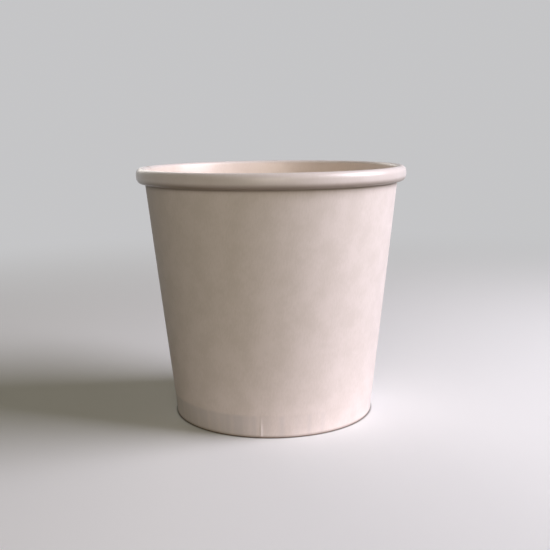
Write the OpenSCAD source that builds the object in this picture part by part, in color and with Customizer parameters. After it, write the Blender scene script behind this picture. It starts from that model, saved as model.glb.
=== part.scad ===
// Paper soup container for about 350 ml, open and without its lid.
// Two pieces of board: a tapered wall, lapped and sealed down one side, rolled outwards at the rim
// and folded under at the foot, and a bottom disc whose turned-down skirt the folded foot grips.
// The origin is on the axis, in the plane that the foot rests on.

/* [Container] */
// Diameter over the rolled rim
rim_d = 90; // [86:0.5:98]
// Diameter of the wall's outside face, carried straight down to the resting plane
base_d = 67.4; // [63:0.1:74]
// Height from the resting plane to the top of the rim
height = 83.5; // [60:0.5:105]

/* [Board] */
// Thickness of the wall's board
wall_t = 0.42; // [0.32:0.02:0.5]
// Thickness of the bottom disc's board
disc_t = 0.36; // [0.28:0.02:0.46]
// Gap left at each sealed joint by the board's coating
seal_gap = 0.02; // [0.01:0.01:0.04]

/* [Rolled rim] */
// Width of the roll, from the wall's inside face to its outermost face
roll_w = 2.9; // [2.7:0.1:3.6]
// Height of the roll, from its underside to the top of the rim
roll_h = 4.9; // [4.4:0.1:6]
// Height of the upright strip round the roll's widest place
face_h = 0.6; // [0.4:0.1:1]
// Space between the turns of the roll
roll_gap = 0.12; // [0.08:0.02:0.2]
// How far the last turn goes on over the top, inside the roll, in degrees
roll_end = 120; // [60:5:170]

/* [Foot] */
// Height of the pressed band round the foot
band_h = 7.3; // [6:0.1:11]
// Lean of the band from upright, in degrees
band_lean = 5.3; // [3:0.1:7]
// Radius inside each corner of the fold
fold_r = 0.04; // [0.02:0.01:0.1]
// Height of the board's folded-under edge above the resting plane
tuck_h = 5.8; // [4:0.1:5.9]

/* [Bottom disc] */
// Radius of the bend between panel and skirt, on its outer face
bend_r = 0.8; // [0.6:0.1:1.2]
// Distance from the end of the skirt to the inside of the fold
skirt_clear = 0.3; // [0.1:0.1:1]

/* [Lapped seam] */
// Direction of the seam, in degrees from the X axis
seam_at = 165; // [0:5:355]
// Width of the lap
lap_w = 6.5; // [5:0.5:8]
// Width over which the outer layer comes back down to the wall beside the lap
lap_slope_w = 3; // [2.5:0.1:3.5]
// Distance from the lap to the roll above it and to the fold below it
lap_clear = 0.6; // [0.3:0.1:2]

/* [Pleat] */
// Direction of the pinched pleat in the band, in degrees from the X axis
pleat_at = 263; // [225:1:315]
// How far the pleat stands out at the foot
pleat_out = 0.4; // [0.2:0.05:0.6]

/* [Hidden] */

board_white = [0.93, 0.90, 0.87];
inner_white = [0.95, 0.93, 0.90];
$fn = 96;
turn_steps = 8;
oval_steps = 9;
fold_steps = 6;
bend_steps = 6;

// The middle of the wall's board, as lines in the plane of radius and height.
band_foot_x = base_d / 2 - wall_t / 2 / cos(band_lean);
band_top = [band_foot_x + band_h * tan(band_lean), band_h];

// The outer half of the roll is an oval with an upright strip at its widest place, at this share of
// the roll's height below the rim. The inner half is round, with this share of the oval's width.
face_share = 0.46;
inner_share = 0.7;
face_x = rim_d / 2 - wall_t / 2;
face_z = height - face_share * roll_h;
high_h = height - wall_t / 2 - face_z - face_h / 2;

// The wall runs up to meet the roll's top turn.
top_w = (roll_w - wall_t) / (1 + inner_share);
top_r = inner_share * top_w;
top_c = [face_x - top_w, height - wall_t / 2 - top_r];
rise = top_c - band_top;
wall_lean = atan2(rise.x, rise.y) - asin(top_r / norm(rise));

// The roll's lower turn comes back to the wall, one board and one gap away from it. Beside_x is
// where that turn would lie if it had no radius, and its centre moves out as its radius grows.
turn_step = wall_t + roll_gap;
under_z = height - roll_h + wall_t / 2;
beside_x = band_top.x + (turn_step + (under_z - band_top.y) * sin(wall_lean)) / cos(wall_lean);
growth = (1 + sin(wall_lean)) / cos(wall_lean);
under_w = (face_x - beside_x) / (1 + inner_share * growth);
under_r = inner_share * under_w;
under_c = [face_x - under_w, under_z + under_r];
low_h = face_z - face_h / 2 - under_z;

// The fold holds the disc's skirt between its two layers.
grip = wall_t + disc_t + 2 * seal_gap;
fold_mid_r = fold_r + wall_t / 2;
fold_z = wall_t / 2 + fold_mid_r;
fold_out_c = [band_x(fold_z) - fold_mid_r / cos(band_lean), fold_z];
fold_in_c = [band_x(fold_z) - (grip - fold_mid_r) / cos(band_lean), fold_z];

// The disc's skirt follows the band, and its bend starts where the wall leaves the band.
skirt_in = (wall_t + disc_t) / 2 + seal_gap;
bend_mid_r = bend_r - disc_t / 2;
bend_c = [band_x(band_h) - (skirt_in + bend_mid_r) / cos(band_lean), band_h];
skirt_foot_z = wall_t + skirt_clear;

// The lap lies one board thick on the wall, and the outlines that cut it run past both its faces.
lap_z = [wall_t + lap_clear, height - roll_h - lap_clear];
lap_toe = lap_w / 2 + lap_slope_w;
mid_r = base_d / 2 + height / 2 * tan(wall_lean);
lap_past = 2 * wall_t + fall(mid_r, lap_toe);

// The share of the board's half thickness at which the pleat's crest ends, inside the board.
pleat_sink = 0.8;

// Radius of the band's mid-line at height z.
function band_x(z) = band_foot_x + z * tan(band_lean);

// A point of a board's course: where it is, and the direction across the board.
function point(p, across) = [p, [cos(across), sin(across)]];

// An arc of a course, round centre c from angle a to angle b. Side is 1 where the direction across
// the board points away from the centre, and -1 where it points to it.
function arc(c, r, a, b, steps, side) = [
    for (i = [0:steps])
        let (t = a + (b - a) * i / steps, out = [cos(t), sin(t)])
            [c + r * out, side * out]
];

// An arc of a course on an oval of half width w and half height h, with its food side outwards.
function oval(c, w, h, a, b, steps) = [
    for (i = [0:steps])
        let (t = a + (b - a) * i / steps, out = [h * cos(t), w * sin(t)])
            [c + [w * cos(t), h * sin(t)], out / norm(out)]
];

// The outline of a board of thickness t that follows a course.
function board(course, t) = concat(
    [for (k = course) k[0] + t / 2 * k[1]],
    [for (i = [len(course) - 1:-1:0]) course[i][0] - t / 2 * course[i][1]]
);

// How far a circle of radius r has fallen away from its tangent at distance y along it.
function fall(r, y) = r - sqrt(r * r - y * y);

// The wall's course, from its folded-under edge round the foot, up the wall and round the roll.
wall_course = concat(
    [point([band_x(tuck_h) - grip / cos(band_lean), tuck_h], -band_lean)],
    arc(fold_in_c, fold_mid_r, 180 - band_lean, 270, fold_steps, -1),
    arc(fold_out_c, fold_mid_r, 270, 360 - band_lean, fold_steps, -1),
    [point(band_top, 180 - (band_lean + wall_lean) / 2)],
    arc(top_c, top_r, 180 - wall_lean, 90 + 90 / turn_steps, turn_steps - 1, 1),
    oval([top_c.x, face_z + face_h / 2], top_w, high_h, 90, 0, oval_steps),
    oval([under_c.x, face_z - face_h / 2], under_w, low_h, 0, -90, oval_steps),
    arc(under_c, under_r, -90 - 90 / turn_steps, -180 - wall_lean, turn_steps - 1, 1),
    arc(top_c, top_r - turn_step, 180 - wall_lean, 180 - wall_lean - roll_end, turn_steps, 1)
);

// The disc's course, from the end of its skirt up and over to the axis.
disc_course = concat(
    [point([band_x(skirt_foot_z) - skirt_in / cos(band_lean), skirt_foot_z], -band_lean)],
    arc(bend_c, bend_mid_r, -band_lean, 90, bend_steps, 1),
    [point([0, bend_c.y + bend_mid_r], 90)]
);

// The frame of the wall's outside face at the seam: X out of the board, Y round the wall, Z up it.
module at_seam() {
    rotate([0, 0, seam_at])
        translate([band_top.x, 0, band_top.y])
            rotate([0, wall_lean, 0])
                translate([wall_t / 2, 0, -band_top.y])
                    children();
}

// The section of the space under the outer layer's slope beside the lap, where the layer's upper
// face is at top over the lap and one board lower at the slope's toe.
module slope_section(top) {
    polygon([
        [-lap_past, lap_w / 2],
        [top - fall(mid_r, lap_w / 2), lap_w / 2],
        [top - wall_t - fall(mid_r, lap_toe), lap_toe],
        [-lap_past, lap_toe],
    ]);
}

// The outer layer of the lap: a second board on the wall, with a cut edge on one side and a slope
// down to the wall on the other.
module lap() {
    bottom_x = band_x(lap_z[0]);
    top_x = band_top.x + (lap_z[1] - band_top.y) * tan(wall_lean);
    out = (wall_t / 2 + wall_t) / cos(wall_lean);
    intersection() {
        rotate_extrude()
            polygon([
                [bottom_x, lap_z[0]],
                [bottom_x + out, lap_z[0]],
                [band_top.x + out, band_top.y],
                [top_x + out, lap_z[1]],
                [top_x, lap_z[1]],
                band_top,
            ]);
        at_seam()
            linear_extrude(height)
                union() {
                    translate([-lap_past, -lap_w / 2])
                        square([2 * lap_past, lap_w]);
                    slope_section(wall_t);
                }
    }
}

// The step that the inner layer's cut edge leaves inside the wall, beside the lap.
module lap_step() {
    start = band_h + bend_r + lap_clear;
    at_seam()
        translate([0, 0, start])
            linear_extrude(lap_z[1] - start)
                slope_section(0);
}

// The pinched pleat in the band: half a slim cone on the middle of the board, which sinks into the
// wall's outside face as it nears the band's top.
module pleat() {
    foot_r = wall_t / 2 + pleat_out;
    crest_r = wall_t / 2 * pleat_sink;
    rotate([0, 0, pleat_at])
        translate([band_foot_x, 0, 0])
            rotate([0, band_lean, 0])
                translate([0, 0, wall_t])
                    intersection() {
                        cylinder(h = band_h, r1 = foot_r, r2 = crest_r);
                        translate([0, -foot_r, 0])
                            cube([foot_r, 2 * foot_r, band_h]);
                    }
}

module side_wall() {
    color(board_white)
        difference() {
            union() {
                rotate_extrude()
                    polygon(board(wall_course, wall_t));
                lap();
                pleat();
            }
            lap_step();
        }
}

module bottom_disc() {
    color(inner_white)
        rotate_extrude()
            polygon(board(disc_course, disc_t));
}

side_wall();
bottom_disc();
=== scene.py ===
# %% [markdown]
# # A paper soup container
#
# The container is two pieces of coated board. One tapered sheet makes the wall: it is lapped and
# sealed down one side, rolled outwards at the rim and folded under at the foot. One disc makes the
# bottom: its edge is turned down, and the wall's folded foot grips it.
#
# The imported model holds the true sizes. It is loaded first and never moved, and each piece that is
# made here stands in the place of one of its nodes.

import bpy
import numpy as np
from mathutils import Matrix, Vector


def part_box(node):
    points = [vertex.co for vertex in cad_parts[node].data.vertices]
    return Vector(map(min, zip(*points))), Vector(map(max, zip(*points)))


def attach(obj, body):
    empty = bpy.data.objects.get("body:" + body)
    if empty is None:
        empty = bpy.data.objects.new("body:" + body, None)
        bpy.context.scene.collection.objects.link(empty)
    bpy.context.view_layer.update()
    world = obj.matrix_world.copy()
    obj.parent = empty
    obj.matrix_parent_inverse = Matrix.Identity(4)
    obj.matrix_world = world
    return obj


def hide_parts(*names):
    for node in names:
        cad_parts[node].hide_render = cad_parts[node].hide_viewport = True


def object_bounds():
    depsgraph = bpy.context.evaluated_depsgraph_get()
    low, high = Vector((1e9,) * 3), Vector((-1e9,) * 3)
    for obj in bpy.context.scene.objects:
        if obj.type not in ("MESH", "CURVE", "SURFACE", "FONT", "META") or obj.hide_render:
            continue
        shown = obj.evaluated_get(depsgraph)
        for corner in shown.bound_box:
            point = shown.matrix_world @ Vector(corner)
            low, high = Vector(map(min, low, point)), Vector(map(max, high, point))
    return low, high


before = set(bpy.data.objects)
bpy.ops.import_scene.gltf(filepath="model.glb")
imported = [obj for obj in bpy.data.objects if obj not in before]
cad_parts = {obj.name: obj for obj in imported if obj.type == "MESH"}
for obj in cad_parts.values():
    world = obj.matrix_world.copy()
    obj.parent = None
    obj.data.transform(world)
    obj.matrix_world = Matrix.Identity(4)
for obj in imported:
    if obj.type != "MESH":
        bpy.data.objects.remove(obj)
cad_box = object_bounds()
print("packed model, lowest and highest corner in metres:", [list(corner) for corner in cad_box])

# %% [markdown]
# ## The sizes that the two pieces share
#
# A modeller who writes each size once can change it in one place. The outer sizes are read from
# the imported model, so the looks can't drift away from it. The board's thicknesses and the small
# radii can't be read from a box, so they are written here.

# %% Sizes of board, roll, fold and lap
MM = 0.001
WALL_T = 0.42 * MM
DISC_T = 0.36 * MM
SEAL_GAP = 0.02 * MM
ROLL_W = 2.9 * MM
ROLL_H = 4.9 * MM
ROLL_GAP = 0.12 * MM
FACE_H = 0.6 * MM
FACE_SHARE = 0.46
INNER_SHARE = 0.7
ROLL_END = 120
BAND_LEAN = 5.3
FOLD_R = 0.04 * MM
TUCK_H = 5.8 * MM
BEND_R = 0.8 * MM
SKIRT_CLEAR = 0.3 * MM
SEAM_AT = 165
LAP_W = 6.5 * MM
LAP_SLOPE_W = 3 * MM
PLEAT_AT = 263
PLEAT_OUT = 0.4 * MM

disc_low, disc_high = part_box("bottom_disc")
RIM_R = min(-cad_box[0].x, -cad_box[0].y, cad_box[1].x, cad_box[1].y)
HEIGHT = cad_box[1].z
BAND_H = disc_high.z - BEND_R
print(f"rim radius {RIM_R / MM:.2f} mm, height {HEIGHT / MM:.2f} mm, band {BAND_H / MM:.2f} mm")
print(f"bottom disc from {disc_low.z / MM:.2f} to {disc_high.z / MM:.2f} mm above the table")

# %% [markdown]
# ## A board's course
#
# Seen in section, a rolled and folded board is a line of constant thickness. So its shape is drawn
# as the line through the middle of the board, in the plane of radius and height, and at each point
# of it the direction towards the food side is kept as well. The two faces then lie half a
# thickness to either side, however tightly the board is rolled. Rolling a ready-made tube outwards
# would also work, but it would not keep the thickness true in the fold and the roll.

# %% Helpers that draw a course
def towards(angle):
    """The unit direction at an angle in degrees, where 0 is outwards and 90 is up."""
    return np.array([np.cos(np.radians(angle)), np.sin(np.radians(angle))])


def arc(centre, radius, start, end, count, side):
    """Points round a centre at equal steps of angle from start to end. Their food side faces out
    of the centre where side is 1, and into it where side is -1."""
    angle = np.radians(np.linspace(start, end, count))
    out = np.column_stack([np.cos(angle), np.sin(angle)])
    return centre + radius * out, side * out


def oval(centre, width, height, start, end, count):
    """Points on an oval of these half sizes, with the food side outwards. The direction across an
    oval at angle t is height times cosine t outwards and width times sine t upwards."""
    angle = np.radians(np.linspace(start, end, count))
    cosine, sine = np.cos(angle), np.sin(angle)
    out = np.column_stack([height * cosine, width * sine])
    out /= np.linalg.norm(out, axis=1, keepdims=True)
    return centre + np.column_stack([width * cosine, height * sine]), out


def without_first(stretch):
    """A stretch without its first point, which the stretch before it has already."""
    return stretch[0][1:], stretch[1][1:]


def straight(first, last, facing, shares):
    """Points on the line from first to last at the given shares of its length."""
    shares = np.asarray(shares)[:, None]
    return first + shares * (last - first), np.repeat(towards(facing)[None], len(shares), 0)


def joined(*stretches):
    """One course out of several stretches: its points, its food-side directions, and the distance
    run along it at each point."""
    points = np.concatenate([stretch[0] for stretch in stretches])
    facing = np.concatenate([stretch[1] for stretch in stretches])
    steps = np.linalg.norm(np.diff(points, axis=0), axis=1)
    return points, facing, np.concatenate([[0], np.cumsum(steps)])


# %% [markdown]
# ## The wall's course
#
# The course starts at the edge that is folded up inside the foot, goes down and round the fold, up
# the pressed band and the straight wall, and then one and a third turns round the roll. The roll is
# an oval on its outside, with a short upright strip at its widest place, where a lid's skirt grips.
# It is round on its inside, where the wall runs into it.

# %% The wall's course, in radius and height
cos_band, tan_band = np.cos(np.radians(BAND_LEAN)), np.tan(np.radians(BAND_LEAN))
skirt_in = (WALL_T + DISC_T) / 2 + SEAL_GAP
bend_mid_r = BEND_R - DISC_T / 2
bend_c = np.array([disc_high.x - BEND_R, BAND_H])
band_top = np.array([bend_c[0] + (skirt_in + bend_mid_r) / cos_band, BAND_H])


def band_x(z):
    """Radius of the band's middle line at height z."""
    return band_top[0] + (z - BAND_H) * tan_band


grip = WALL_T + DISC_T + 2 * SEAL_GAP
fold_mid_r = FOLD_R + WALL_T / 2
fold_z = WALL_T / 2 + fold_mid_r
fold_out_c = np.array([band_x(fold_z) - fold_mid_r / cos_band, fold_z])
fold_in_c = np.array([band_x(fold_z) - (grip - fold_mid_r) / cos_band, fold_z])
tuck_edge = np.array([band_x(TUCK_H) - grip / cos_band, TUCK_H])

face_x = RIM_R - WALL_T / 2
face_z = HEIGHT - FACE_SHARE * ROLL_H
high_h = HEIGHT - WALL_T / 2 - face_z - FACE_H / 2
top_w = (ROLL_W - WALL_T) / (1 + INNER_SHARE)
top_r = INNER_SHARE * top_w
top_c = np.array([face_x - top_w, HEIGHT - WALL_T / 2 - top_r])
rise = top_c - band_top
WALL_LEAN = np.degrees(np.arctan2(rise[0], rise[1]) - np.arcsin(top_r / np.linalg.norm(rise)))
lean_cos, lean_sin = np.cos(np.radians(WALL_LEAN)), np.sin(np.radians(WALL_LEAN))
turn_step = WALL_T + ROLL_GAP
under_z = HEIGHT - ROLL_H + WALL_T / 2
beside_x = band_top[0] + (turn_step + (under_z - band_top[1]) * lean_sin) / lean_cos
under_w = (face_x - beside_x) / (1 + INNER_SHARE * (1 + lean_sin) / lean_cos)
under_r = INNER_SHARE * under_w
under_c = np.array([face_x - under_w, under_z + under_r])
low_h = face_z - FACE_H / 2 - under_z
print(f"roll: inner radii {top_r / MM:.2f} and {under_r / MM:.2f} mm")
print(f"roll: ovals {top_w / MM:.2f} and {under_w / MM:.2f} mm wide")

FOLD_POINTS = 6
ROLL_POINTS = 8
OVAL_POINTS = 12
LAST_POINTS = 7
NEAR_BAND = [0.004, 0.01, 0.02, 0.04]
NEAR_ROLL = [0.91, 0.922, 0.93, 0.938, 0.946, 0.97]
fold_in = arc(fold_in_c, fold_mid_r, 180 - BAND_LEAN, 270, FOLD_POINTS, -1)
fold_out = arc(fold_out_c, fold_mid_r, 270, 360 - BAND_LEAN, FOLD_POINTS, -1)
roll_top = arc(top_c, top_r, 180 - WALL_LEAN, 90, ROLL_POINTS, 1)
face_high = oval([top_c[0], face_z + FACE_H / 2], top_w, high_h, 90, 0, OVAL_POINTS)
face_low = oval([under_c[0], face_z - FACE_H / 2], under_w, low_h, 0, -90, OVAL_POINTS)
roll_under = arc(under_c, under_r, -90, -180 - WALL_LEAN, ROLL_POINTS, 1)
last_end = 180 - WALL_LEAN - ROLL_END
roll_last = arc(top_c, top_r - turn_step, 180 - WALL_LEAN, last_end, LAST_POINTS, 1)
tuck_shares = np.linspace(0, 1, 8)[:-1]
band_shares = np.linspace(0, 1, 12)[1:-1]
wall_shares = [*NEAR_BAND, *np.linspace(0.08, 0.88, 11), *NEAR_ROLL]
wall_course = joined(
    straight(tuck_edge, fold_in[0][0], -BAND_LEAN, tuck_shares),
    fold_in,
    fold_out,
    straight(fold_out[0][-1], band_top, 180 - BAND_LEAN, band_shares),
    straight(band_top, roll_top[0][0], 180 - (BAND_LEAN + WALL_LEAN) / 2, [0]),
    straight(band_top, roll_top[0][0], 180 - WALL_LEAN, wall_shares),
    roll_top,
    without_first(face_high),
    face_low,
    without_first(roll_under),
    roll_last,
)
print(f"wall leans {WALL_LEAN:.2f} degrees")
print(f"its board runs {wall_course[2][-1] / MM:.1f} mm from edge to edge")

# %% [markdown]
# ## Where the wall's columns stand
#
# The sheet goes once round and laps over itself. A lap has the same width from foot to rim, and a
# turn doesn't, so a column is placed by two numbers: the share of a whole turn, and a distance
# along the board that is divided by the local radius. The outer layer comes first, then the slope
# where it comes down to the wall, then the way round, and last the inner layer under the lap. The
# columns stand closer together at the pleat.

# %% Columns of the wall's sheet
foot_r = fold_out_c[0]
lap_half = LAP_W / 2
lap_toe = lap_half + LAP_SLOPE_W
PLEAT_W = 0.45 * MM
PLEAT_COLUMNS = 33
ROUND_COLUMNS = 440
LAP_COLUMNS = 8
SLOPE_COLUMNS = 10
INNER_COLUMNS = 10
round_share = (np.radians((PLEAT_AT - SEAM_AT) % 360) - lap_toe / foot_r) / (
    2 * np.pi - (lap_toe + lap_half) / foot_r
)
pleat_share = PLEAT_W / (2 * np.pi * foot_r)
near_pleat = round_share + np.linspace(-4, 4, PLEAT_COLUMNS) * pleat_share
all_round = np.linspace(0, 1, ROUND_COLUMNS)
away = np.abs(all_round - round_share) > 4.6 * pleat_share
all_round = np.sort(np.concatenate([all_round[away], near_pleat]))
outer_layer = np.linspace(-lap_half, lap_half, LAP_COLUMNS)
slope = np.linspace(lap_half, lap_toe, SLOPE_COLUMNS)[1:-1]
inner_layer = np.linspace(-lap_half, lap_half, INNER_COLUMNS)[1:]
turns = np.concatenate([0 * outer_layer, 0 * slope, all_round, 1 + 0 * inner_layer])
beside = np.concatenate(
    [outer_layer, slope, lap_toe * (1 - all_round) - lap_half * all_round, inner_layer]
)
print(f"{len(turns)} columns by {len(wall_course[0])} rows")

# %% [markdown]
# ## What pressing and handling did to the board
#
# Real board is never a perfect cone. The forming tools press the foot into a slightly thinner band
# with fine upright marks, which are strong inside the foot where the wheel ran and faint outside.
# One small pleat is pinched where the band had a little too much board. The wall itself sways by
# less than a tenth of a millimetre. Each of these is a height that is added to one face or to
# both, as a function of the way round and the way up.

# %% Heights of the marks on the board
MARK_COUNT = 104
PRESS_DEPTH = 0.07 * MM
INSIDE_MARK = 0.07 * MM
OUTSIDE_MARK = 0.009 * MM
SWAY = 0.07 * MM
FLUTE = 0.003 * MM
PLEAT_RISE = 1.3
PLEAT_TOP = 0.88
PLEAT_FOOT = 0.9 * MM


def ease(x):
    """0 below 0, 1 above 1, and a soft S between them."""
    x = np.clip(x, 0, 1)
    return x * x * (3 - 2 * x)


def uneven(angle, periods, seed):
    """A sum of cosines of the angle, one for each whole number of periods, with seeded heights and
    phases, divided so that it stays between -1 and 1. It closes on itself after a turn."""
    rng = np.random.default_rng(seed)
    heights = rng.uniform(0.4, 1, len(periods))
    phases = rng.uniform(0, 2 * np.pi, len(periods))
    waves = np.cos(angle[..., None] * np.asarray(periods) + phases)
    return (heights * waves).sum(-1) / heights.sum()


def band_mask(run, start, end, soft):
    """1 along the course from start to end, and 0 beyond a soft stretch at either side."""
    return ease((run - start) / soft + 0.5) * ease((end - run) / soft + 0.5)


def wheel_marks(angle):
    """Rounded ribs round the foot, from 0 to 1, stronger in some places than in others."""
    ribs = 0.5 + 0.5 * np.cos(MARK_COUNT * angle + 0.7 * uneven(angle, [3, 5, 8], 3))
    return ribs * (0.7 + 0.3 * uneven(angle, [2, 5, 9, 13], 4))


def pleat(angle, z):
    """A narrow ridge, highest at the foot: the sideways distance over its half width goes into a
    bell curve. Its height falls evenly to nothing below the band's top, and its foot is rounded."""
    sideways = (np.mod(angle - np.radians(PLEAT_AT) + np.pi, 2 * np.pi) - np.pi) * foot_r
    half_width = PLEAT_W * (0.55 + 0.45 * np.clip(1 - z / BAND_H, 0, 1))
    height = np.clip(1 - z / (PLEAT_TOP * BAND_H), 0, 1) * ease(z / PLEAT_FOOT)
    return height * np.exp(-(np.abs(sideways / half_width) ** 1.7))


# %% [markdown]
# ## The wall's two faces
#
# At the lap the faces are moved apart so that both layers of board are there, with the outer
# layer's cut edge outside and the inner layer's cut edge inside. The second layer adds a share of
# the board's thickness: all of it on the wall, less at the loose edge inside the foot, little in
# the roll, and none in the fold, where the tools squeezed both layers to a hair less than one.

# %% Grid of the wall's outside and food side
points, facing, run = wall_course
fold_row = len(tuck_shares)
fold_start, fold_end = run[fold_row], run[fold_row + 2 * FOLD_POINTS - 1]
band_row = fold_row + 2 * FOLD_POINTS + len(band_shares)
band_end = run[band_row]
roll_row = band_row + 1 + len(wall_shares)
roll_start, face_end = run[roll_row], run[roll_row + ROLL_POINTS + OVAL_POINTS - 1]
under_roll = band_end + (HEIGHT - ROLL_H - BAND_H) / lean_cos
row = run[:, None]
radius, height = points[:, :1], points[:, 1:]
angle = np.radians(SEAM_AT) + 2 * np.pi * turns + beside / radius

LOOSE = 0.8
FLATTENED = -0.01
SQUEEZED = 0.2
UNDER_SHARE = 0.18
FILM = 0.01 * MM
BAND_SOFT = 0.9 * MM
TUCK_SOFT = 0.8 * MM
lap_stations = [
    fold_start - 1.5 * MM,
    fold_start,
    fold_end,
    fold_end + 1.2 * MM,
    under_roll - 2.2 * MM,
    under_roll,
]
extra = np.interp(run, lap_stations, [LOOSE, FLATTENED, FLATTENED, 1, 1, SQUEEZED])[:, None]
inner_share = np.interp(run, lap_stations[-2:], [0.5, UNDER_SHARE])[:, None]
both_layers = WALL_T * (1 + extra)
meeting = both_layers * inner_share
outer = np.zeros(len(turns))
outer[: len(outer_layer)] = 1
slope_end = len(outer_layer) + len(slope)
outer[len(outer_layer) : slope_end] = 1 - ease((slope - lap_half) / LAP_SLOPE_W)
inner = np.zeros(len(turns))
inner[-len(inner_layer) :] = 1

food_at = -WALL_T / 2 + outer * (meeting + FILM)
outside_at = WALL_T / 2 + outer * (both_layers - WALL_T) + inner * (meeting - FILM - WALL_T)

on_band = band_mask(row, fold_end, band_end, BAND_SOFT) + 0 * angle
on_tuck = band_mask(row, 0.7 * MM, fold_start - 0.4 * MM, TUCK_SOFT) + 0 * angle
marks = wheel_marks(angle)
free = np.sin(np.pi * np.clip((row - band_end) / (roll_start - band_end), 0, 1))
flutes = FLUTE * free * uneven(angle, [23, 37, 51, 64], 6)
sway = SWAY * free * uneven(angle, [2, 3, 5, 7], 5) + flutes
on_outside = -PRESS_DEPTH * on_band + OUTSIDE_MARK * marks * on_band
on_outside = on_outside - INSIDE_MARK * marks * on_tuck
pleat_here = PLEAT_RISE * PLEAT_OUT * pleat(angle, height)
on_outside = on_outside + pleat_here * band_mask(row, fold_end + 0.15 * MM, band_end, 0.3 * MM)
outside_at = outside_at + sway + on_outside
food_at = food_at + sway
print(f"lap {np.max(both_layers) / MM:.2f} mm thick; pleat {np.max(on_outside) / MM:.2f} mm proud")

# %% [markdown]
# ## Smudges, shade and the inside
#
# The pressed band carries grey smudges from the forming tools, most of them left of the pleat and
# on the opposite side, and patchy like any such mark. Left of the pleat, on the side turned away
# from the window, the same grey is also painted shade. Three places get hardly any light: the fold,
# the wall right under the roll, and the roll's underside. The renderer shades them by itself, but
# here the pale floor and backdrop throw light in, so painted shade makes them darker, and a little
# painted shade lies on the whole roll too. The last mask marks the inside, where a warm tint is
# painted for the light that bounces there from board to board.

# %% Masks on the wall
# Where the smudges, which are partly painted shade, are strongest.
SMUDGE_AND_SHADE_AT = 218
FOLD_SOFT = 0.25 * MM
BESIDE_W = 0.7 * MM
UNDER_W = 1.9 * MM
ROLL_SHADE = 0.12
ROLL_SOFT = 1.2 * MM
# Grey smudges on the band: real tool marks, and painted shade where they gather on the side turned
# from the window.
smudges_and_shade = 0.45 + 0.55 * np.cos(2 * (angle - np.radians(SMUDGE_AND_SHADE_AT)))
smudges_and_shade = smudges_and_shade + 0.3 * uneven(angle, [7, 11, 16], 7) + 0.35 * uneven(angle, [31, 47, 74, 97], 12)
smudges_and_shade = np.clip(smudges_and_shade, 0, 1)
wall_pressed = np.maximum(on_band * smudges_and_shade, on_tuck * (0.4 + 0.6 * marks))
# Painted shade in the fold, on the wall under the roll, on the roll's underside, and faintly on the
# whole roll.
in_fold = band_mask(row, fold_start, fold_end, FOLD_SOFT)
below_roll = np.clip((under_roll - row) / BESIDE_W, 0, 9)
beside_roll = np.where(row < roll_start, np.exp(-(below_roll**1.5)), 0)
under_face = ease((row - face_end - 0.1 * MM) / UNDER_W)
on_roll = ROLL_SHADE * band_mask(row, roll_start + ROLL_SOFT, run[-1], ROLL_SOFT)
outside_painted_shade = np.maximum(in_fold, beside_roll) + 0 * angle
roll_painted_shade = np.maximum(under_face, on_roll) + 0 * angle
# A painted warm tint inside, for the light that bounces from board to board.
inside = 1 - ease((row - roll_start + 0.3 * MM) / ROLL_SOFT) + 0 * angle
print(f"smudges cover {np.mean(smudges_and_shade):.0%} of the band")

# %% [markdown]
# ## From grids to a closed board
#
# Both faces are grids of the same size, so the four cut edges are strips between their borders.
# The faces' order says which way they look; the sign of the enclosed volume shows at once if the
# whole board is inside out.

# %% Helpers that make a mesh
SHARP_ANGLE = 38


def spun(place, angle):
    """Points in space from radius and height, turned to an angle round the axis."""
    radius, height = place[..., 0], place[..., 1]
    return np.stack([radius * np.cos(angle), radius * np.sin(angle), height + 0 * angle], -1)


def grid_quads(index):
    """The quads between neighbouring rows and columns of a grid of vertex numbers."""
    corners = [index[:-1, :-1], index[:-1, 1:], index[1:, 1:], index[1:, :-1]]
    return np.stack(corners, -1).reshape(-1, 4)


def enclosed(points, quads, fans):
    """Volume inside a closed mesh, negative if its faces look inwards: the sum over all triangles
    of a sixth of the triple product of their corners."""
    triangles = np.concatenate([quads[:, :3], quads[:, [0, 2, 3]], fans])
    first, second, third = (points[triangles[:, corner]] for corner in range(3))
    return np.einsum("ij,ij->i", first, np.cross(second, third)).sum() / 6


def make_piece(name, points, quads, fans, finish, masks, blank):
    """A smooth mesh object at the origin. Finish is a number for each quad and then each fan
    triangle, masks are values for each point by name, and blank is its place on the flat board."""
    mesh = bpy.data.meshes.new(name)
    mesh.from_pydata(points.tolist(), [], quads.tolist() + fans.tolist())
    mesh.polygons.foreach_set("use_smooth", np.ones(len(mesh.polygons), bool))
    mesh.polygons.foreach_set("material_index", finish.astype(np.int32))
    for label, values in masks.items():
        layer = mesh.attributes.new(label, "FLOAT", "POINT")
        layer.data.foreach_set("value", values.astype(np.float32).ravel())
    corners = np.empty(len(mesh.loops), np.int32)
    mesh.loops.foreach_get("vertex_index", corners)
    flat = mesh.uv_layers.new(name="flat_blank")
    flat.uv.foreach_set("vector", blank[corners].astype(np.float32).ravel())
    mesh.set_sharp_from_angle(angle=np.radians(SHARP_ANGLE))
    mesh.update()
    piece = bpy.data.objects.new(name, mesh)
    bpy.context.scene.collection.objects.link(piece)
    volume = enclosed(points, quads, fans) / MM**3
    print(f"{name}: {2 * len(quads) + len(fans)} triangles round {volume:.0f} cubic mm of board")
    return piece


# %% [markdown]
# ## The wall
#
# A tapered wall is cut from the flat as part of a ring. Its UV map is that flat blank: the slant
# distance from the cone's tip is the radius, and the way round, narrowed by the sine of the lean,
# is the angle. So the board's grain runs straight across the blank and slants towards the seam,
# as it does on the real thing.

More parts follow.
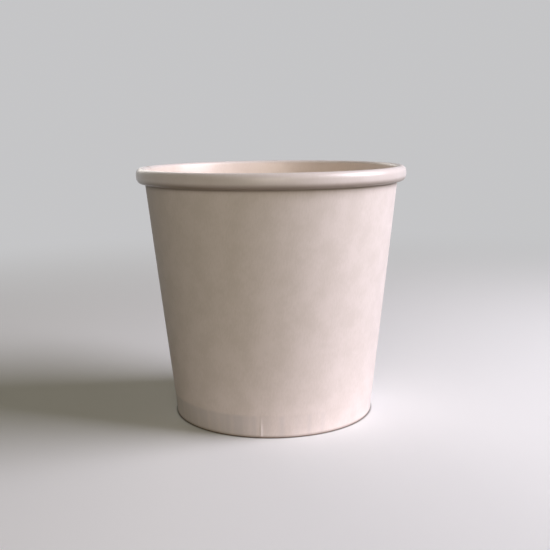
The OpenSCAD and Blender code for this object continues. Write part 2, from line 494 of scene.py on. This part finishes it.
# %% Make the wall
outside = spun(points[:, None] - facing[:, None] * outside_at[..., None], angle)
food_side = spun(points[:, None] - facing[:, None] * food_at[..., None], angle)
rows, columns = angle.shape
back = rows * columns
number = np.arange(back).reshape(rows, columns)
border = np.concatenate([number[0], number[1:, -1], number[-1, -2::-1], number[-2::-1, 0]])
cut_edges = np.stack([border[1:], border[:-1], border[:-1] + back, border[1:] + back], -1)
wall_quads = np.concatenate([grid_quads(number), grid_quads(number + back)[:, ::-1], cut_edges])
wall_finish = np.repeat([0, 1, 2], [(rows - 1) * (columns - 1)] * 2 + [len(cut_edges)])

slant = band_top[0] / lean_sin + row - band_end
spread = (angle - np.radians(SEAM_AT) - np.pi) * lean_sin
wall_blank = np.stack([slant * np.sin(spread), slant * np.cos(spread) - slant.min()], -1)
wall = make_piece(
    "lapped_wall",
    np.concatenate([outside.reshape(-1, 3), food_side.reshape(-1, 3)]),
    wall_quads,
    np.empty((0, 3), int),
    wall_finish,
    {
        "pressed": np.stack([wall_pressed, 0 * wall_pressed]),
        "painted_shade": np.stack([outside_painted_shade, roll_painted_shade]),
        "inside": np.stack([0 * inside, inside]),
    },
    np.tile(wall_blank.reshape(-1, 2), (2, 1)),
)
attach(wall, "root")
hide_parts("side_wall")

# %% [markdown]
# ## The bottom
#
# A flat disc can't be turned down at its edge without gathering, so the bend has fine radial
# puckers. The panel between them sags by a fraction of a millimetre. The disc is closed all round,
# so its grid has one column for each step of the turn and the last meets the first. Both faces
# end in a single point in the middle.

# %% The bottom's course and its two faces
PUCKER = 0.035 * MM
SAG = 0.22 * MM
PUCKER_COUNT = 77
DISC_COLUMNS = 420
BEND_POINTS = 9
SKIRT_POINTS = 6
NEAR_BEND = 1.5 * MM
skirt_foot_z = WALL_T + SKIRT_CLEAR
skirt_end = np.array([band_x(skirt_foot_z) - skirt_in / cos_band, skirt_foot_z])
bend = arc(bend_c, bend_mid_r, -BAND_LEAN, 90, BEND_POINTS, 1)
panel_edge = bend[0][-1]
disc_course = joined(
    straight(skirt_end, bend[0][0], -BAND_LEAN, np.linspace(0, 1, SKIRT_POINTS)[:-1]),
    bend,
    straight(panel_edge, np.array([0, panel_edge[1]]), 90, 1 - np.geomspace(1, 0.012, 17)[1:]),
)
points, facing, run = disc_course
turn = np.linspace(0, 2 * np.pi, DISC_COLUMNS, endpoint=False)
angle = turn + 0 * run[:, None]
bend_run = run[SKIRT_POINTS - 1 + BEND_POINTS // 2]
near_bend = np.exp(-(((run - bend_run) / NEAR_BEND) ** 2))[:, None]
gathers = 0.5 + 0.5 * np.cos(PUCKER_COUNT * angle + 1.5 * uneven(angle, [4, 7, 11], 8))
puckers = PUCKER * near_bend * gathers * (0.6 + 0.4 * uneven(angle, [3, 8, 14], 9))
panel_share = np.clip(1 - points[:, :1] / panel_edge[0], 0, 1)
sag = SAG * ease(1.4 * panel_share) * (1 + 0.3 * uneven(angle, [2, 3], 10) * (1 - panel_share))
shift = -puckers - sag
upper = spun(points[:, None] + facing[:, None] * (shift + DISC_T / 2)[..., None], angle)
lower = spun(points[:, None] + facing[:, None] * (shift - DISC_T / 2)[..., None], angle)
print(f"skirt {(BAND_H - skirt_foot_z) / MM:.1f} mm deep, panel sags {np.max(sag) / MM:.2f} mm")

# %% [markdown]
# The cut edge at the skirt's end is one ring of quads. Two fans of triangles, one for each face,
# close the disc in the middle.

# %% Make the bottom
rows = len(run)
back = rows * DISC_COLUMNS
number = np.arange(back).reshape(rows, DISC_COLUMNS)
number = np.concatenate([number, number[:, :1]], 1)
now, following = number[-1, :-1], number[-1, 1:]
middle = np.full(DISC_COLUMNS, 2 * back)
fans = np.concatenate(
    [
        np.stack([now, following, middle], -1),
        np.stack([following + back, now + back, middle + 1], -1),
    ]
)
now, following = number[0, :-1], number[0, 1:]
skirt_edge = np.stack([following, now, now + back, following + back], -1)
disc_quads = np.concatenate([grid_quads(number), grid_quads(number + back)[:, ::-1], skirt_edge])
poles = np.stack([upper[-1].mean(0), lower[-1].mean(0)])
one_face = (rows - 1) * DISC_COLUMNS
disc_finish = np.repeat([0, 1, 2, 0, 1], [one_face, one_face] + 3 * [DISC_COLUMNS])
disc_blank = (run[-1] - run)[:, None, None] * np.stack([np.cos(angle), np.sin(angle)], -1)
disc_blank = disc_blank.reshape(-1, 2)
disc_pressed = np.tile(near_bend, (1, DISC_COLUMNS)).ravel()
disc_pressed = np.concatenate([disc_pressed, disc_pressed, [0, 0]])
bottom = make_piece(
    "raised_bottom",
    np.concatenate([upper.reshape(-1, 3), lower.reshape(-1, 3), poles]),
    disc_quads,
    fans,
    disc_finish,
    {"pressed": disc_pressed, "painted_shade": 0 * disc_pressed, "inside": 1 + 0 * disc_pressed},
    np.concatenate([disc_blank, disc_blank, np.zeros((2, 2))]),
)
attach(bottom, "root")
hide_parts("bottom_disc")

# %% [markdown]
# ## Helpers for materials
#
# Effects that several materials share are node groups. A group is a small machine with named
# inputs and outputs: it is built once, and each material sets its own values on it.

# %% Helpers that build node trees
def add(tree, kind, values=(), **settings):
    """A new node with its settings, and values for its inputs by name or number. A value that is
    an output socket is linked, and any other one is set."""
    node = tree.nodes.new(kind)
    for name, setting in settings.items():
        setattr(node, name, setting)
    for place, value in dict(values).items():
        if isinstance(value, bpy.types.NodeSocket):
            tree.links.new(value, node.inputs[place])
        else:
            node.inputs[place].default_value = value
    return node


def math(tree, operation, *values):
    """The output of a Math node."""
    return add(tree, "ShaderNodeMath", enumerate(values), operation=operation).outputs[0]


def remap(tree, value, low, high, to_low, to_high):
    """The value moved smoothly from the range low to high into the range to_low to to_high."""
    settings = {0: value, 1: low, 2: high, 3: to_low, 4: to_high}
    node = add(tree, "ShaderNodeMapRange", settings, interpolation_type="SMOOTHSTEP")
    return node.outputs[0]


def noise(tree, vector, scale, detail, stretch=(1, 1, 1)):
    """Noise between about 0 and 1, with a cell of about 1 / scale metres, stretched along axes
    whose factor is below 1."""
    stretched = add(tree, "ShaderNodeMapping", {"Vector": vector, "Scale": stretch})
    settings = {"Vector": stretched.outputs[0], "Scale": scale, "Detail": detail}
    return add(tree, "ShaderNodeTexNoise", settings).outputs[0]


def blend(tree, share, first, second, kind="MIX"):
    """A colour mixed from two, by a share between 0 and 1. With the kind MULTIPLY, the second one
    tints the first."""
    values = {0: share, 6: first, 7: second}
    return add(tree, "ShaderNodeMix", values, data_type="RGBA", blend_type=kind).outputs[2]


def new_group(name, inputs, outputs):
    """An empty shader node group with sockets by name, where each input has a type and a value.
    Returns its tree, its input sockets as outputs of the input node, and its output node."""
    tree = bpy.data.node_groups.new(name, "ShaderNodeTree")
    for label, (kind, value) in inputs.items():
        socket = tree.interface.new_socket(label, in_out="INPUT", socket_type=kind)
        if value is not None:
            socket.default_value = value
    for label, kind in outputs.items():
        tree.interface.new_socket(label, in_out="OUTPUT", socket_type=kind)
    given, result = tree.nodes.new("NodeGroupInput"), tree.nodes.new("NodeGroupOutput")
    return tree, given.outputs, result.inputs


FLOAT, VECTOR = "NodeSocketFloat", "NodeSocketVector"

# %% [markdown]
# ## What paper board looks like close up
#
# Held against a lamp, board is cloudy: its fibres lie in flocks a few millimetres across. On its
# face they show as a very faint mottle, and as fine grain in the direction in which the web ran
# through the paper machine. One group makes both, as a tone and as a height. It reads the place
# on the flat blank, so the grain runs with the board round the container.

# %% Group: formation of the board
FLOCK = 6 * MM
FLOCK_SHARE = 0.6
GRAIN = 0.5 * MM
GRAIN_RELIEF = 0.5
TOOTH = 0.16 * MM
formation, given, result = new_group(
    "board_formation",
    {"Blank": (VECTOR, None), "Along": (FLOAT, 0.2), "Tooth": (FLOAT, 0.5)},
    {"Tone": FLOAT, "Height": FLOAT},
)
lengthways = add(formation, "ShaderNodeCombineXYZ", {0: 1.0, 1: given["Along"], 2: 1.0})
drawn_out = {0: given["Blank"], 1: lengthways.outputs[0]}
drawn = add(formation, "ShaderNodeVectorMath", drawn_out, operation="MULTIPLY").outputs[0]
flocks = noise(formation, given["Blank"], 1 / FLOCK, 3, (1, 0.8, 1))
grain = noise(formation, drawn, 1 / GRAIN, 4)
tooth = noise(formation, given["Blank"], 1 / TOOTH, 2)
cloudy = math(formation, "MULTIPLY", flocks, FLOCK_SHARE)
grainy = math(formation, "MULTIPLY", grain, 1 - FLOCK_SHARE)
formation.links.new(math(formation, "ADD", cloudy, grainy), result["Tone"])
raised = math(formation, "MULTIPLY", grain, GRAIN_RELIEF)
fine = math(formation, "MULTIPLY", tooth, given["Tooth"])
formation.links.new(math(formation, "ADD", raised, fine), result["Height"])

# %% [markdown]
# ## What handling leaves behind
#
# Stacking and packing rub the board. Rubbed patches are a little smoother than the rest and a
# very little darker, in soft areas a centimetre or two across with short scuffs in them.

# %% Group: marks of handling
RUB = 17 * MM
RUB_RANGE = (0.45, 0.75)
SCUFF = 1.6 * MM
SCUFF_RANGE = (0.5, 0.7)
handling, given, result = new_group(
    "handling_marks",
    {"Place": (VECTOR, None), "Amount": (FLOAT, 0.5)},
    {"Rubbed": FLOAT},
)
patches = remap(handling, noise(handling, given["Place"], 1 / RUB, 2), *RUB_RANGE, 0.0, 1.0)
scratched = noise(handling, given["Place"], 1 / SCUFF, 3, (1, 1, 0.25))
scuffs = remap(handling, scratched, *SCUFF_RANGE, 0.0, 1.0)
scuffed = math(handling, "ADD", 0.5, math(handling, "MULTIPLY", scuffs, 0.5))
rubbed = math(handling, "MULTIPLY", patches, scuffed)
handling.links.new(math(handling, "MULTIPLY", rubbed, given["Amount"]), result["Rubbed"])

# %% [markdown]
# ## Three finishes for the board
#
# The outside is plain bleached board: matte, warm white, with its grain just visible. The food
# side has a film of plastic that was melted onto it, so it is smoother and a little shiny. The
# roll turns the food side outwards, so the rim has that sheen too. Cut edges show raw fibre. The
# masks of the wall then change the tone: smudges and painted shade grey the band, pressing makes
# it smoother, painted shade darkens the fold, the roll and the wall under it, and a painted warm
# tint on the inside stands for bounced light.

# %% Finish: board
TONE_RANGE = (0.35, 0.65)
PRESSED_AND_SHADED_SHARE = 0.8
PRESSED_SMOOTHER = -0.2
RUBBED_TONE = (0.70, 0.64, 0.59, 1)
RUBBED_SHARE = 0.35
RUBBED_SMOOTHER = -0.12
# Colour of the painted shade in the fold, on the roll and on the wall under it.
PAINTED_SHADE_TONE = (0.21, 0.145, 0.09, 1)
PAINTED_SHADE_SHARE = 0.85
# Painted warm tint inside, for bounced light.
INSIDE_WARMTH = (1.05, 1.0, 0.925, 1)


def mask(tree, name):
    """The values of one of the mesh's masks."""
    return add(tree, "ShaderNodeAttribute", attribute_name=name).outputs["Fac"]


def board_finish(name, tones, roughness, along, tooth, relief, pressed_tone, rub):
    """A board material. Tones are the colours of thin and dense flocks, roughness is that of dense
    and thin flocks, relief is the height of grain and tooth in metres, and the pressed tone is the
    colour that pressing, and the painted shade on the outside band, move the board towards."""
    finish = bpy.data.materials.new(name)
    finish.use_nodes = True
    tree = finish.node_tree
    shader = tree.nodes["Principled BSDF"]
    blank = add(tree, "ShaderNodeUVMap", uv_map="flat_blank").outputs[0]
    place = add(tree, "ShaderNodeTexCoord").outputs["Object"]
    sheet_values = {"Blank": blank, "Along": along, "Tooth": tooth}
    sheet = add(tree, "ShaderNodeGroup", sheet_values, node_tree=formation).outputs
    marks_values = {"Place": place, "Amount": rub}
    rubbed = add(tree, "ShaderNodeGroup", marks_values, node_tree=handling).outputs["Rubbed"]
    pressed = mask(tree, "pressed")
    share = remap(tree, sheet["Tone"], *TONE_RANGE, 0.0, 1.0)
    colour = blend(tree, share, *tones)
    # Painted warm tint inside, for bounced light.
    colour = blend(tree, mask(tree, "inside"), colour, INSIDE_WARMTH, "MULTIPLY")
    # Pressed board, and painted shade on the outside band, move the colour towards the pressed tone.
    colour = blend(tree, math(tree, "MULTIPLY", pressed, PRESSED_AND_SHADED_SHARE), colour, pressed_tone)
    colour = blend(tree, math(tree, "MULTIPLY", rubbed, RUBBED_SHARE), colour, RUBBED_TONE)
    # Painted shade darkens the fold, the roll and the wall under it.
    painted_dark = math(tree, "MULTIPLY", mask(tree, "painted_shade"), PAINTED_SHADE_SHARE)
    colour = blend(tree, painted_dark, colour, PAINTED_SHADE_TONE)
    smooth = math(tree, "MULTIPLY", rubbed, RUBBED_SMOOTHER)
    smooth = math(tree, "ADD", smooth, math(tree, "MULTIPLY", pressed, PRESSED_SMOOTHER))
    rough = math(tree, "ADD", remap(tree, share, 0.0, 1.0, *roughness), smooth)
    bump_values = {"Strength": 1.0, "Distance": relief, "Height": sheet["Height"]}
    bump = add(tree, "ShaderNodeBump", bump_values)
    tree.links.new(colour, shader.inputs["Base Color"])
    tree.links.new(rough, shader.inputs["Roughness"])
    tree.links.new(bump.outputs[0], shader.inputs["Normal"])
    return finish, shader


# %% [markdown]
# Matte board mirrors less at a flat angle than smooth plastic does, so the outside's specular level
# is low. The film on the food side is a thin clear coat.

# %% The three finishes on the two pieces
plain_face, plain_shader = board_finish(
    "bleached_outside",
    tones=[(0.785, 0.725, 0.68, 1), (0.855, 0.79, 0.755, 1)],
    roughness=(0.50, 0.58),
    along=0.3,
    tooth=0.5,
    relief=0.016 * MM,
    # Grey of the pressed band, partly painted shade.
    pressed_tone=(0.66, 0.63, 0.62, 1),
    rub=0.6,
)
plain_shader.inputs["Specular IOR Level"].default_value = 0.2
coated_face, coated_shader = board_finish(
    "coated_food_side",
    tones=[(0.80, 0.735, 0.70, 1), (0.84, 0.78, 0.75, 1)],
    roughness=(0.34, 0.40),
    along=0.3,
    tooth=0.25,
    relief=0.006 * MM,
    pressed_tone=(0.83, 0.77, 0.73, 1),
    rub=0.3,
)
coated_shader.inputs["Coat Weight"].default_value = 0.45
coated_shader.inputs["Coat Roughness"].default_value = 0.25
cut_face, _ = board_finish(
    "cut_edge",
    tones=[(0.62, 0.54, 0.47, 1), (0.80, 0.74, 0.69, 1)],
    roughness=(0.85, 0.95),
    along=1.0,
    tooth=1.0,
    relief=0.03 * MM,
    pressed_tone=(0.74, 0.67, 0.61, 1),
    rub=0.2,
)
for face in (plain_face, coated_face, cut_face):
    wall.data.materials.append(face)
for face in (coated_face, plain_face, cut_face):
    bottom.data.materials.append(face)
print("finishes:", ", ".join(face.name for face in wall.data.materials))

# %% [markdown]
# ## Floor and world
#
# The container stands on a plain pale floor. Near the container the floor takes its shadow; far
# away it fades into the world's colour, so no horizon shows from any side. Only rays from the
# camera and mirror reflections see those pale colours. The light that the floor throws back on the
# container is weaker, as from the darker table in the photo. It is stronger near the foot, and
# strongest in front on the right, where that glossy table mirrors its window. A narrow line of
# shade round the foot stands for the gap under the fold, which a pale floor would fill with light.

# %% Floor and world
BACKGROUND = (0.56, 0.56, 0.57, 1)
FILL = (1.0, 0.89, 0.60, 1)
FILL_STRENGTH = 0.083
FLOOR_SEEN = (0.85, 0.875, 0.87, 1)
FLOOR_THROWS = (0.18, 0.17, 0.15, 1)
NEAR_THROWS = (0.50, 0.465, 0.465, 1)
NEAR_REACH = (0.04, 0.085)
GLEAM_THROWS = (0.96, 0.91, 0.94, 1)
GLEAM_AT = (0.03, -0.042, 0)
GLEAM_REACH = (0.014, 0.055)
FLOOR_R = 6.0
FLOOR_CORNERS = 96
FLOOR_FADE = (0.09, 0.5)
CONTACT_TONE = (0.12, 0.11, 0.10, 1)
CONTACT_W = 1.2 * MM


def looking(tree):
    """1 for rays that look: from the camera, off a glossy face or through a clear one."""
    rays = add(tree, "ShaderNodeLightPath").outputs
    glossy_or_clear = math(tree, "MAXIMUM", rays["Is Glossy Ray"], rays["Is Transmission Ray"])
    return math(tree, "MAXIMUM", rays["Is Camera Ray"], glossy_or_clear)


ring = np.linspace(0, 2 * np.pi, FLOOR_CORNERS, endpoint=False)
floor_points = FLOOR_R * np.column_stack([np.cos(ring), np.sin(ring), 0 * ring])
floor_mesh = bpy.data.meshes.new("floor")
floor_mesh.from_pydata(floor_points.tolist(), [], [list(range(FLOOR_CORNERS))])
floor = bpy.data.objects.new("floor", floor_mesh)
bpy.context.scene.collection.objects.link(floor)

floor_finish = bpy.data.materials.new("pale_floor")
floor_finish.use_nodes = True
tree = floor_finish.node_tree
seen = looking(tree)
place = add(tree, "ShaderNodeTexCoord").outputs["Object"]
distance = add(tree, "ShaderNodeVectorMath", {0: place}, operation="LENGTH").outputs["Value"]
fade = math(tree, "MULTIPLY", remap(tree, distance, *FLOOR_FADE, 0.0, 1.0), seen)
sky = add(tree, "ShaderNodeEmission", {"Color": BACKGROUND})
ground = tree.nodes["Principled BSDF"]
contact = remap(tree, distance, foot_r, foot_r + CONTACT_W, 0.0, 1.0)
shown = blend(tree, contact, CONTACT_TONE, FLOOR_SEEN)
thrown = blend(tree, remap(tree, distance, *NEAR_REACH, 0.0, 1.0), NEAR_THROWS, FLOOR_THROWS)
from_gleam = add(tree, "ShaderNodeVectorMath", {0: place, 1: GLEAM_AT}, operation="DISTANCE")
past_gleam = remap(tree, from_gleam.outputs["Value"], *GLEAM_REACH, 0.0, 1.0)
thrown = blend(tree, past_gleam, GLEAM_THROWS, thrown)
tree.links.new(blend(tree, seen, thrown, shown), ground.inputs["Base Color"])
ground.inputs["Roughness"].default_value = 0.6
ground.inputs["Specular IOR Level"].default_value = 0.0
mixed = add(tree, "ShaderNodeMixShader", {0: fade, 1: ground.outputs[0], 2: sky.outputs[0]})
tree.links.new(mixed.outputs[0], tree.nodes["Material Output"].inputs["Surface"])
floor_mesh.materials.append(floor_finish)

world = bpy.data.worlds.new("studio")
world.use_nodes = True
bpy.context.scene.world = world
tree = world.node_tree
seen = looking(tree)
lit = add(tree, "ShaderNodeBackground", {"Color": FILL, "Strength": FILL_STRENGTH})
shown = add(tree, "ShaderNodeBackground", {"Color": BACKGROUND, "Strength": 1.0})
mixed = add(tree, "ShaderNodeMixShader", {0: seen, 1: lit.outputs[0], 2: shown.outputs[0]})
tree.links.new(mixed.outputs[0], tree.nodes["World Output"].inputs["Surface"])
print(f"floor radius {FLOOR_R:.0f} m, pale to {FLOOR_FADE[0]} m, gone at {FLOOR_FADE[1]} m")

# %% [markdown]
# ## Lamps
#
# A window on the right shapes the wall. It is near, so the top of the wall gets more of it than the
# foot. A weaker, warmer reflector in front lifts the side that is turned away from the window, and
# one behind keeps the back readable. Directions, powers and colours come from comparing the wall's
# shading with the photo's.

# %% Lamps
def lamp(name, azimuth, elevation, distance, size, power, colour):
    """A square area lamp that faces the middle of the container from a direction in degrees."""
    data = bpy.data.lights.new(name, "AREA")
    data.size, data.energy, data.color = size, power, colour
    made = bpy.data.objects.new(name, data)
    turned, raised = np.radians(azimuth), np.radians(elevation)
    out = Vector((np.cos(turned) * np.cos(raised), np.sin(turned) * np.cos(raised), np.sin(raised)))
    made.location = Vector((0, 0, HEIGHT / 2)) + out * distance
    made.rotation_mode = "QUATERNION"
    made.rotation_quaternion = out.to_track_quat("Z", "Y")
    bpy.context.scene.collection.objects.link(made)
    print(f"{name}: {power} W from azimuth {azimuth}, elevation {elevation}")


KEY_COLOUR = (0.955, 0.90, 1.0)
FRONT_COLOUR = (1.0, 0.895, 0.745)
REAR_COLOUR = (1.0, 0.94, 0.88)
lamp("window", -8, 31, distance=0.6, size=0.4, power=4.5, colour=KEY_COLOUR)
lamp("front_reflector", -90, 12, distance=0.9, size=0.5, power=2.1, colour=FRONT_COLOUR)
lamp("rear_reflector", 112, 24, distance=0.9, size=0.4, power=1.0, colour=REAR_COLOUR)

# %% [markdown]
# ## Camera
#
# The camera stands where the photograph was taken from: a little above the rim, at a distance of
# three and a third rim diameters. Its place, its tilt and its angle of view come from fitting the
# rim's and the foot's ellipses, and everything is in the container's own frame.

# %% Camera
VIEW_AT = Vector((0, -0.2952, 0.0976))
YAW, PITCH, TILT = 0.003, 0.1723, -0.0121
FOCAL_SHARE = 872.8 / 550
camera_data = bpy.data.cameras.new("view")
camera_data.sensor_width = 36
camera_data.lens = FOCAL_SHARE * camera_data.sensor_width
camera_data.clip_start = 0.01
ahead = Vector((np.sin(YAW) * np.cos(PITCH), np.cos(YAW) * np.cos(PITCH), -np.sin(PITCH)))
level = Vector((np.cos(YAW), -np.sin(YAW), 0))
upright = level.cross(ahead)
across = np.cos(TILT) * level + np.sin(TILT) * upright
upwards = -np.sin(TILT) * level + np.cos(TILT) * upright
camera = bpy.data.objects.new("view", camera_data)
turned = Matrix((across, upwards, -ahead)).transposed()
camera.matrix_world = Matrix.Translation(VIEW_AT) @ turned.to_4x4()
bpy.context.scene.collection.objects.link(camera)
bpy.context.scene.camera = camera
bpy.context.scene.view_settings.view_transform = "Standard"
print(f"camera {VIEW_AT.length / MM:.0f} mm from the middle of the foot")
